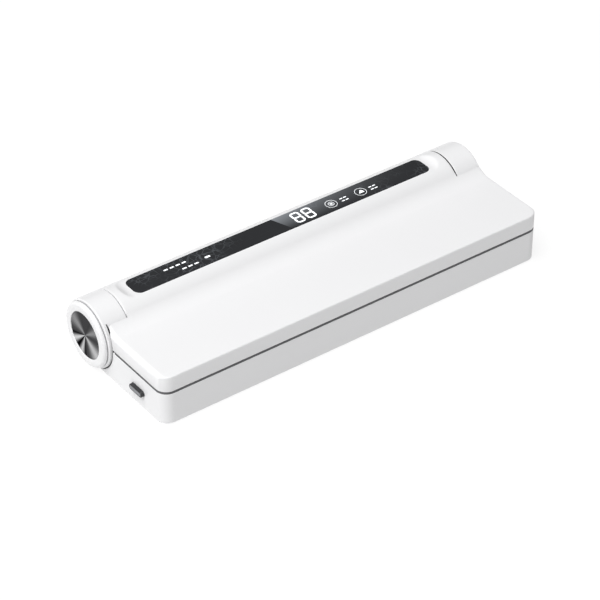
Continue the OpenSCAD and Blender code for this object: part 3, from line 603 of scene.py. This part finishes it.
def lid_plate():
    verts, faces = [], []
    inner = plate_ring(FILLET)
    side = len(SIDE_ROWS)
    front = inner[side - 1: len(inner) - side + 1]
    columns = len(front)
    # Top grid: one column for each point along the front, one row for each side row.
    grid = []
    for (x, y0), _ in front:
        column = [y0 + (SIDE_ROWS[1] - y0) * t for t in (0.0, 0.34, 0.67)] + list(SIDE_ROWS[1:])
        grid.append([(x, y, top_of(y)) for y in column])
    rows = len(grid[0])
    for column in grid:
        verts += column
    for i in range(columns - 1):
        for j in range(rows - 1):
            a = i * rows + j
            faces.append((a, a + rows, a + rows + 1, a + 1))
    # Boundary of the grid, from the back left round the front to the back right.
    edge = [((grid[0][j][0], grid[0][j][1]), (-1, 0), j) for j in range(rows - 1, 0, -1)]
    edge += [((grid[i][0][0], grid[i][0][1]), front[i][1], i * rows) for i in range(columns)]
    edge += [((grid[-1][j][0], grid[-1][j][1]), (1, 0), (columns - 1) * rows + j) for j in range(1, rows)]
    rings = [[e[2] for e in edge]]

    def ring(out, z_of):
        start = len(verts)
        for (x, y), (nx, ny), _ in edge:
            verts.append((x + nx * out, y + ny * out, z_of(y)))
        rings.append([start + k for k in range(len(edge))])

    for a in quarter(6)[1:]:
        ring(FILLET * math.sin(a), lambda y, a=a: top_of(y) - FILLET * (1 - math.cos(a)))
    ring(FILLET, lambda y: LID_Z0 + EDGE)
    for a in quarter(3)[1:]:
        ring(FILLET - EDGE * (1 - math.cos(a)), lambda y, a=a: LID_Z0 + EDGE * (1 - math.sin(a)))
    for a, b in zip(rings, rings[1:]):
        for k in range(len(edge) - 1):
            faces.append((a[k], b[k], b[k + 1], a[k + 1]))
    faces.append(tuple(rings[-1]))
    back = [i * rows + rows - 1 for i in range(columns)]
    faces.append(tuple(back + [r[-1] for r in rings[1:]] + [r[0] for r in reversed(rings[1:])]))
    return verts, faces


def end_edge_waste():
    """What the rounding of the lid's left end takes off, swept over the flat and up the sweep."""
    rounding = [(END_R * (1 - math.sin(a)), END_R * (1 - math.cos(a))) for a in quarter(10)]
    section = [(-1.0, -1.0), (END_R, -1.0)] + rounding + [(-1.0, END_R)]
    rings = []
    for y in [-2.0] + SIDE_ROWS[1:]:
        tilt = math.asin(max(0.0, y - SWEEP_Y) / SWEEP_R)
        rings.append([
            (inward - HALF, y + down * math.sin(tilt), top_of(y) - down * math.cos(tilt))
            for inward, down in section
        ])
    return loft(rings)


def soft_min(a, b, k):
    """The lower of the two, with a rounded crossing k wide."""
    return (a + b - math.sqrt((a - b) ** 2 + k * k)) / 2


def scoop(x):
    """Height of the display's flat, and of the hollow rise at each of its ends."""
    run = abs(x) - SCOOP_START
    if run <= 0:
        return FLAT_Z
    return FLAT_Z + SCOOP_R - math.sqrt(max(0.0, SCOOP_R**2 - min(run, SCOOP_R) ** 2))


def barrel_stations(xs):
    """(Place along the barrel, radius) from end to end, with a rounded lip at both ends."""
    half = [(x, BARREL_R) for x in xs]
    half += [(BARREL_HALF - EDGE + EDGE * math.sin(a), BARREL_R - EDGE * (1 - math.cos(a)))
             for a in quarter(4)]
    return [(-x, r) for x, r in reversed(half) if x > 0] + half


def barrel_top():
    """Upper part of the barrel, cut down to the display's flat and its scoops."""
    xs = [0, 40, 80, 110, 130, 140, 144] + [145 + 0.5 * k for k in range(27)] + [160]
    low = math.degrees(math.asin((LID_Z0 - AXIS_Z) / BARREL_R))
    # Round both flanks by angle, and over the top by even steps in y, where the flat is cut.
    flank = [180 - low - (180 - low - 122) * k / 24 for k in range(24)]
    ys = [-15.5 + 0.5 * k for k in range(63)]
    flat_from, crossing = 52, 0.5
    rings = []
    for x, r in barrel_stations(xs):
        def at(degrees, r=r):
            t = math.radians(degrees)
            return AXIS_Y + r * math.cos(t), AXIS_Z + r * math.sin(t)

        over = [y * r / BARREL_R for y in ys]
        ring = [at(a) for a in flank]
        ring += [(AXIS_Y + y, AXIS_Z + math.sqrt(r * r - y * y)) for y in over]
        ring += [at(180 - a) for a in reversed(flank)]
        clip = scoop(x)
        rings.append([
            (BARREL_X + x, y, soft_min(z, clip, crossing) if z > flat_from else z) for y, z in ring
        ])
    return loft(rings)


def plan_prism(inset, y_back, z0, z1):
    return loft([[(x, y, z) for x, y in body_outline(inset, y_back, 12)] for z in (z0, z1)])


def hollow_barrel(z0, z1):
    """Inside of the barrel between its end walls, cut off flat at z0 and z1."""
    lo = math.asin(max(-1, (z0 - AXIS_Z) / INNER_R))
    hi = math.asin(min(1, (z1 - AXIS_Z) / INNER_R))
    side = [lo + (hi - lo) * k / 32 for k in range(33)]
    outline = [(AXIS_Y + INNER_R * math.cos(a), AXIS_Z + INNER_R * math.sin(a)) for a in side]
    outline += [(AXIS_Y - INNER_R * math.cos(a), AXIS_Z + INNER_R * math.sin(a)) for a in reversed(side)]
    return loft([[(barrel_end(s, -WALL), y, z) for y, z in outline] for s in (-1, 1)])


def glass_prism(grow, z0, z1):
    outline = round_rect(GLASS_L + 2 * grow, GLASS_W + 2 * grow, GLASS_R + grow)
    return loft([[(BARREL_X + x, AXIS_Y + y, z) for x, y in outline] for z in (z0, z1)])


def collar_groove():
    """Shadow groove in the left side face, round the collar."""
    return rod(-HALF - 1, -HALF + GROOVE_DEPTH, BARREL_R + GROOVE_W)


def bush_hole(side):
    return rod(barrel_end(side, -4), barrel_end(side, 2), BUSH_R)


def make_lid():
    lid = new_object("lid", *lid_plate())

    def cut(shape):
        boolean(lid, "DIFFERENCE", shape)

    cut(end_edge_waste())
    boolean(lid, "UNION", barrel_top())
    cut(collar_groove())
    for side in (-1, 1):
        cut(rod(barrel_end(side), FAR * side, LID_CLEAR_R))
    cut(plan_prism(WALL, CHAMBER_Y, 20, LID_TOP - WALL))
    cut(hollow_barrel(20, ROOF_Z))
    for side in (-1, 1):
        cut(bush_hole(side))
    cut(glass_prism(GLASS_GAP, GLASS_TOP - GLASS_THICK, 70))
    x, l, w = DIGIT_WINDOW
    cut(block(x - l, x + l, AXIS_Y - w, AXIS_Y + w, 50, 57))
    for x in TOUCH_X:
        cut(post(x, AXIS_Y, 50, 57, TOUCH_R))
    return finish_piece(lid, "lid", "lid", WHITE, ["lid_shell"])


def make_barrel_underside():
    top = LID_Z0 - 0.2
    post_r, post_top = 4.5, 36.8
    rings = []
    for x, q in barrel_stations((0, 60, 120, 160)):
        a = math.asin((top - AXIS_Z) / q)
        turn = [math.pi - a + (math.pi + 2 * a) * k / 96 for k in range(97)]
        rings.append([(BARREL_X + x, AXIS_Y + q * math.cos(t), AXIS_Z + q * math.sin(t)) for t in turn])
    obj = new_object("under", *loft(rings))
    boolean(obj, "DIFFERENCE", hollow_barrel(2, 40))
    for x in BARREL_SCREWS:
        boolean(obj, "UNION", post(x, AXIS_Y, 3, post_top, post_r))
    for side in (-1, 1):
        boolean(obj, "DIFFERENCE", bush_hole(side))
    for x in BARREL_SCREWS:
        boolean(obj, "DIFFERENCE", post(x, AXIS_Y, -2, 30, SCREW_HEAD_R))
        boolean(obj, "DIFFERENCE", post(x, AXIS_Y, 20, 60, SCREW_R))
    return finish_piece(obj, "barrel_lower_half", "lid", WHITE, ["barrel_underside"])


# ---- The base ----


def base_plate():
    levels = [(FILLET * (1 - math.sin(a)), BASE_Z0 + FILLET * (1 - math.cos(a))) for a in quarter(6)]
    levels += [(EDGE * (1 - math.cos(a)), BASE_Z1 - EDGE * (1 - math.sin(a))) for a in quarter(3)]
    return loft([[(x, y, z) for x, y in body_outline(inset, AXIS_Y, 16)] for inset, z in levels])


def housing(length, rim):
    """Profile of a barrel housing on the base, with a lip at the barrel and a rounded outer rim."""
    profile = [(0, 0), (BARREL_R - EDGE, 0)]
    profile += [(BARREL_R - EDGE * (1 - math.sin(a)), EDGE * (1 - math.cos(a))) for a in quarter(4)[1:]]
    profile += [(BARREL_R - rim * (1 - math.cos(a)), length - rim * (1 - math.sin(a))) for a in quarter(10)]
    return profile + [(0, length)]


def button_hole(side):
    outline = button_outline(0.35)
    return loft([[(side * x, y, z) for y, z in outline] for x in (HALF - 4, HALF + 2)])


def make_base():
    base = new_object("base", *base_plate())

    def cut(shape):
        boolean(base, "DIFFERENCE", shape)

    left, right = (barrel_end(s, SEAM[s]) for s in (-1, 1))
    cut(rod(left, right, CRADLE_R))
    cut(collar_groove())
    boolean(base, "UNION", lathe(housing(HALF - right, HOUSING_RIM[1]), right, 1))
    boolean(base, "UNION", lathe(housing(COLLAR_X + left, HOUSING_RIM[-1]), left, -1))
    cut(plan_prism(WALL, CHAMBER_Y, BASE_FLOOR_Z, 60))
    for side in (-1, 1):
        cut(rod(barrel_end(side, SEAM[side] + WALL), side * (HALF - 3), POCKET_R))
    cut(rod(-FAR, -HALF + 4, POCKET_R))
    cut(rod(HALF - 4, FAR, RIGHT_CAP_R))
    for side in (-1, 1):
        cut(rod(barrel_end(side), barrel_end(side, 4), PIN_R))
        cut(button_hole(side))
    for x, y in BASE_SCREWS:
        boolean(base, "UNION", post(x, y, 3.0, 6.5, 4))
    for x, y in BASE_SCREWS:
        cut(post(x, y, -2, BASE_Z0 + 1.6, SCREW_HEAD_R))
        cut(post(x, y, -1, 12, SCREW_R))
    for x, y in FEET:
        cut(post(x, y, -2, BASE_Z0 + 0.6, FOOT_R))
    with editing(base.data) as bm:
        weld(bm, 0.01)
    finish_piece(base, "base", "base", WHITE, ["base_shell"])
    even = base.modifiers.new("even", "WEIGHTED_NORMAL")
    even.mode = "FACE_AREA"
    even.keep_sharp = True


# ---- End cap, disc, buttons ----


def make_cap():
    """The left end cap, a grey seal ring in its gap that is also painted shade for the gap, and the metal
    disc sunk in its face.
    """
    steps = 160
    back = COLLAR_X - 6
    mouth = DISC_R + DISC_GAP
    profile = [(0, back + 3), (STEM_R, back + 3), (STEM_R, back), (SPIGOT_R, back)]
    profile += [(SPIGOT_R, COLLAR_X + 0.8), (CAP_R - 0.3, COLLAR_X + 0.8), (CAP_R, COLLAR_X + 1.1)]
    profile += [(CAP_R - CAP_ROUND * (1 - math.cos(a)), CAP_FACE - CAP_ROUND * (1 - math.sin(a)))
                for a in quarter(10)]
    profile += [(mouth + CAP_LIP, CAP_FACE)]
    profile += [(mouth + CAP_LIP * (1 - math.sin(a)), CAP_FACE - CAP_LIP * (1 - math.cos(a)))
                for a in quarter(4)[1:]]
    profile += [(mouth, CAP_FACE - 2), (0, CAP_FACE - 2)]
    cap = new_object("cap", *lathe(profile, 0, -1, steps))
    finish_piece(cap, "left_cap", "base", COLLAR, ["left_end_cap"])

    # Seal ring in the gap between cap and collar, grey as painted shade for the gap as well.
    inner, outer, bulge = SPIGOT_R + 0.05, 27.3, 27.5
    low, middle, high = COLLAR_X + 0.05, COLLAR_X + 0.4, COLLAR_X + 0.72
    ring = [(inner, low), (outer, low), (bulge, middle), (outer, high), (inner, high)]
    rings = [
        [(-x, AXIS_Y + r * math.cos(t), AXIS_Z + r * math.sin(t)) for r, x in ring] for t in full_turn(steps)
    ]
    seal_and_shade = new_object("seal_and_shade", *loft(rings + rings[:1], closed_ends=False))
    finish_piece(seal_and_shade, "cap_seal_and_shade", "base", CAP_SEAL_AND_SHADE_GREY)

    face, chamfer, dish = CAP_FACE - 0.42, 0.25, 0.2
    rim = DISC_R - chamfer
    points = [(0, CAP_FACE - 1.95), (DISC_R, CAP_FACE - 1.95), (DISC_R, face - chamfer), (rim, face)]
    for k in range(1, 40):
        r = rim * (1 - k / 40)
        points.append((r, face - dish * (1 - (r / DISC_R) ** 2)))
    points.append((0, face - dish))
    disc = new_object("disc", *lathe(points, 0, -1, steps))
    finish_piece(disc, "spun_disc", "base", spun_metal(), ["left_end_disc"], 40)


def make_button(side):
    """A release button with a bevelled rim, and a grey panel let into its face as a painted highlight."""
    stop = HALF + BUTTON_OUT
    flange, flange_in, flange_out = 1.5, HALF - 3.4, HALF - 2.4
    highlight_inset = -BUTTON_BEVEL - 0.55

    def ring(x, grow):
        return [(side * x, y, z) for y, z in button_outline(grow)]

    rings = [ring(flange_in, flange), ring(flange_out, flange), ring(flange_out, 0)]
    for a in quarter(5):
        rings.append(ring(stop - BUTTON_BEVEL * (1 - math.sin(a)), -BUTTON_BEVEL * (1 - math.cos(a))))
    rings.append(ring(stop - 0.15, -BUTTON_BEVEL - 0.5))
    rings.append(ring(stop - 0.15, -BUTTON_BEVEL - 1.5))
    name = "left" if side < 0 else "right"
    button = new_object("button", *loft(rings))
    body, node = f"latch_{name}", f"release_button_{name}"
    finish_piece(button, f"button_{name}", body, BLACK, [node])
    # Grey panel on the face: painted highlight of the light the black face catches.
    face = new_object("face", *loft([ring(stop - 0.14, highlight_inset), ring(stop - 0.02, highlight_inset)]))
    finish_piece(face, f"button_painted_highlight_{name}", body, BUTTON_PAINTED_HIGHLIGHT)


# ---- Display ----


def make_glass():
    """Glass strip with chamfered edges: how far its outline grows at each depth below its face."""
    rings = []
    for grow, depth in ((-0.2, GLASS_THICK), (0, 1.3), (0, 0.25), (-0.07, 0.07), (-0.25, 0)):
        outline = round_rect(GLASS_L + 2 * grow, GLASS_W + 2 * grow, GLASS_R + grow, 16)
        rings.append([(BARREL_X + x, AXIS_Y + y, GLASS_TOP - depth) for x, y in outline])
    glass = new_object("glass", *loft(rings))
    finish_piece(glass, "display_glass_face", "lid", glass_black(), ["display_glass"], 50)


# How far the marks lie in and stand out of the glass; the middles of the digits, of the two round icons and
# of the captions beside them; and the first bar and the number of bars of the two long captions.
MARK_Z = (GLASS_TOP - 0.01, GLASS_TOP + 0.02)
DIGIT_X, DIGIT_SIZE = (12.8, 23.7), (8.5, 14.6, 1.65)
ICONS = [(46.0, 97.7), (75.75, 97.35)]
ICON_CAPTIONS = [(58.7, 97.2), (88.0, 96.6)]
CAPTION_PITCH = 5.7
CAPTION_ROWS = [(-112.8, 101.8, 4), (-99.6, 95.0, 3)]


def plates(outlines, z0, z1):
    return merged(*[loft([[(x, y, z) for x, y in o] for z in (z0, z1)]) for o in outlines])


def chamfered(x0, x1, y0, y1, low, high):
    """Rectangle whose lower and upper corners are cut off by low and high."""
    return [(x0 + low, y0), (x1 - low, y0), (x1, y0 + low), (x1, y1 - high),
            (x1 - high, y1), (x0 + high, y1), (x0, y1 - high), (x0, y0 + low)]


def band(outer, inner, z0, z1):
    """Closed band between two outlines with the same number of points."""
    rows = ((outer, z0), (outer, z1), (inner, z1), (inner, z0))
    v, f = loft([[(x, y, z) for x, y in row] for row, z in rows], closed_ends=False)
    n = len(outer)
    return v, f + [(3 * n + k, 3 * n + (k + 1) % n, (k + 1) % n, k) for k in range(n)]


def eight(cx, cy, w, h, t):
    """Seven-segment eight with all its bars lit, as two joined loops."""
    corner, waist, hole = 1.9, 0.7, 0.5
    x0, x1, y0, y1 = cx - w / 2, cx + w / 2, cy - h / 2, cy + h / 2
    upper = band(chamfered(x0, x1, cy + 0.01, y1, waist, corner),
                 chamfered(x0 + t, x1 - t, cy + t / 2, y1 - t, hole, hole), *MARK_Z)
    lower = band(chamfered(x0, x1, y0, cy - 0.01, corner, waist),
                 chamfered(x0 + t, x1 - t, y0 + t, cy - t / 2, hole, hole), *MARK_Z)
    return [upper, lower]


def bar_rect(x, y, w, h):
    return [(x - w / 2, y - h / 2), (x + w / 2, y - h / 2), (x + w / 2, y + h / 2), (x - w / 2, y + h / 2)]


def caption(x, y, w, h):
    """One plain bar in place of a caption character."""
    return bar_rect(x, y, w, 0.45 * h)


def make_marks():
    mat = print_white()
    digits = merged(*[loop for x in DIGIT_X for loop in eight(x, AXIS_Y, *DIGIT_SIZE)])
    finish_piece(new_object("digits", *digits), "display_digits", "lid", mat)
    shapes = [band(circle(x, y, 5.2), circle(x, y, 4.85), *MARK_Z) for x, y in ICONS]
    x, y = ICONS[0]
    shapes.append(band(circle(x, y, 2.7, 24), circle(x, y, 2.3, 24), *MARK_Z))
    bars = [bar_rect(x + dx, y, 0.45, 2.6) for dx in (-0.8, 0, 0.8)]
    x, y = ICONS[1]
    wedge = [(-2.6, -1.7), (2.9, -1.7), (2.3, 0.6), (0.9, 2.5), (-0.5, 0.7)]
    bars.append([(x + dx, y + dy) for dx, dy in wedge])
    for x, y in ICON_CAPTIONS:
        bars += [caption(x + dx, y + dy, 2.8, 2.4) for dy in (1.8, -1.8) for dx in (-1.9, 1.9)]
    for x, y, count in CAPTION_ROWS:
        bars += [caption(x + CAPTION_PITCH * k, y, 3.7, 3.2) for k in range(count)]
    bars.append(caption(-76.4, 97.0, 4.6, 4.4))
    icons = new_object("icons", *merged(*shapes, plates(bars, *MARK_Z)))
    finish_piece(icons, "display_icons", "lid", mat)


make_lid()
make_barrel_underside()
make_base()
make_cap()
for SIDE in (-1, 1):
    make_button(SIDE)
make_glass()
make_marks()

SLOT_OF = {s["node"]: s["material_slot"] for s in frame["record"]["subparts"]}
for name, obj in NODES.items():
    # The seal in the parting gap gets a dark grey: its own rubber, and painted shade for the gap as well.
    material = SEAL_AND_GAP_SHADE_GREY if name == "rim_seal" else SLOT_MATERIALS.get(SLOT_OF.get(name))
    if material is not None and not obj.hide_render:
        obj.data.materials.clear()
        obj.data.materials.append(material)

# ---- Camera, floor and light ----

# Fitted to the photo's straight edges, its parting line and its end disc.
AZIMUTH, ELEVATION = math.radians(-36.479), math.radians(36.703)
LEVEL = math.cos(ELEVATION)
BACK = Vector((math.sin(AZIMUTH) * LEVEL, -math.cos(AZIMUTH) * LEVEL, math.sin(ELEVATION)))
camera_data = bpy.data.cameras.new("camera")
camera_data.sensor_width = 36.0
camera_data.lens = 151.86
camera_data.clip_end = 50.0
camera = bpy.data.objects.new("camera", camera_data)
camera.location = (-0.97716, -1.30981, 1.22023)
camera.rotation_euler = (-BACK).to_track_quat("-Z", "Y").to_euler()
bpy.context.scene.collection.objects.link(camera)
bpy.context.scene.camera = camera

# A grey floor that also glows, so that it reads as the photo's even white and lights the object from below.
REACH = 6
corners = [(-REACH, -REACH, 0), (REACH, -REACH, 0), (REACH, REACH, 0), (-REACH, REACH, 0)]
floor_mesh = bpy.data.meshes.new("floor")
floor_mesh.from_pydata(corners, [], [(0, 1, 2, 3)])
floor = bpy.data.objects.new("floor", floor_mesh)
bpy.context.scene.collection.objects.link(floor)
pale = plastic("floor_pale", colour(108, 108, 108), 0.9, vary=0.02, grain=300, bump=0.0, tint=0.002,
               specular=0.1)
surface = pale.node_tree.nodes["Principled BSDF"]
surface.inputs["Emission Color"].default_value = (1.0, 1.0, 1.0, 1.0)
surface.inputs["Emission Strength"].default_value = 0.86
floor_mesh.materials.append(pale)


def area_light(name, place, target, size, power):
    data = bpy.data.lights.new(name, "AREA")
    data.shape = "RECTANGLE"
    data.size, data.size_y = size
    data.energy = power
    light = bpy.data.objects.new(name, data)
    light.location = place
    light.rotation_euler = (Vector(target) - Vector(place)).to_track_quat("-Z", "Y").to_euler()
    bpy.context.scene.collection.objects.link(light)


area_light("key", (-2.8, -0.35, 6.0), (0, 0, 0.02), (5.2, 5.2), 640)
area_light("fill", (-0.9, -0.75, 0.6), (-0.1, 0, 0.03), (0.5, 0.5), 1.0)

world = bpy.data.worlds.new("studio")
world.use_nodes = True
sky = world.node_tree.nodes["Background"]
sky.inputs["Color"].default_value = (1.0, 1.0, 1.0, 1.0)
sky.inputs["Strength"].default_value = 0.06
bpy.context.scene.world = world
bpy.context.scene.view_settings.view_transform = "Standard"
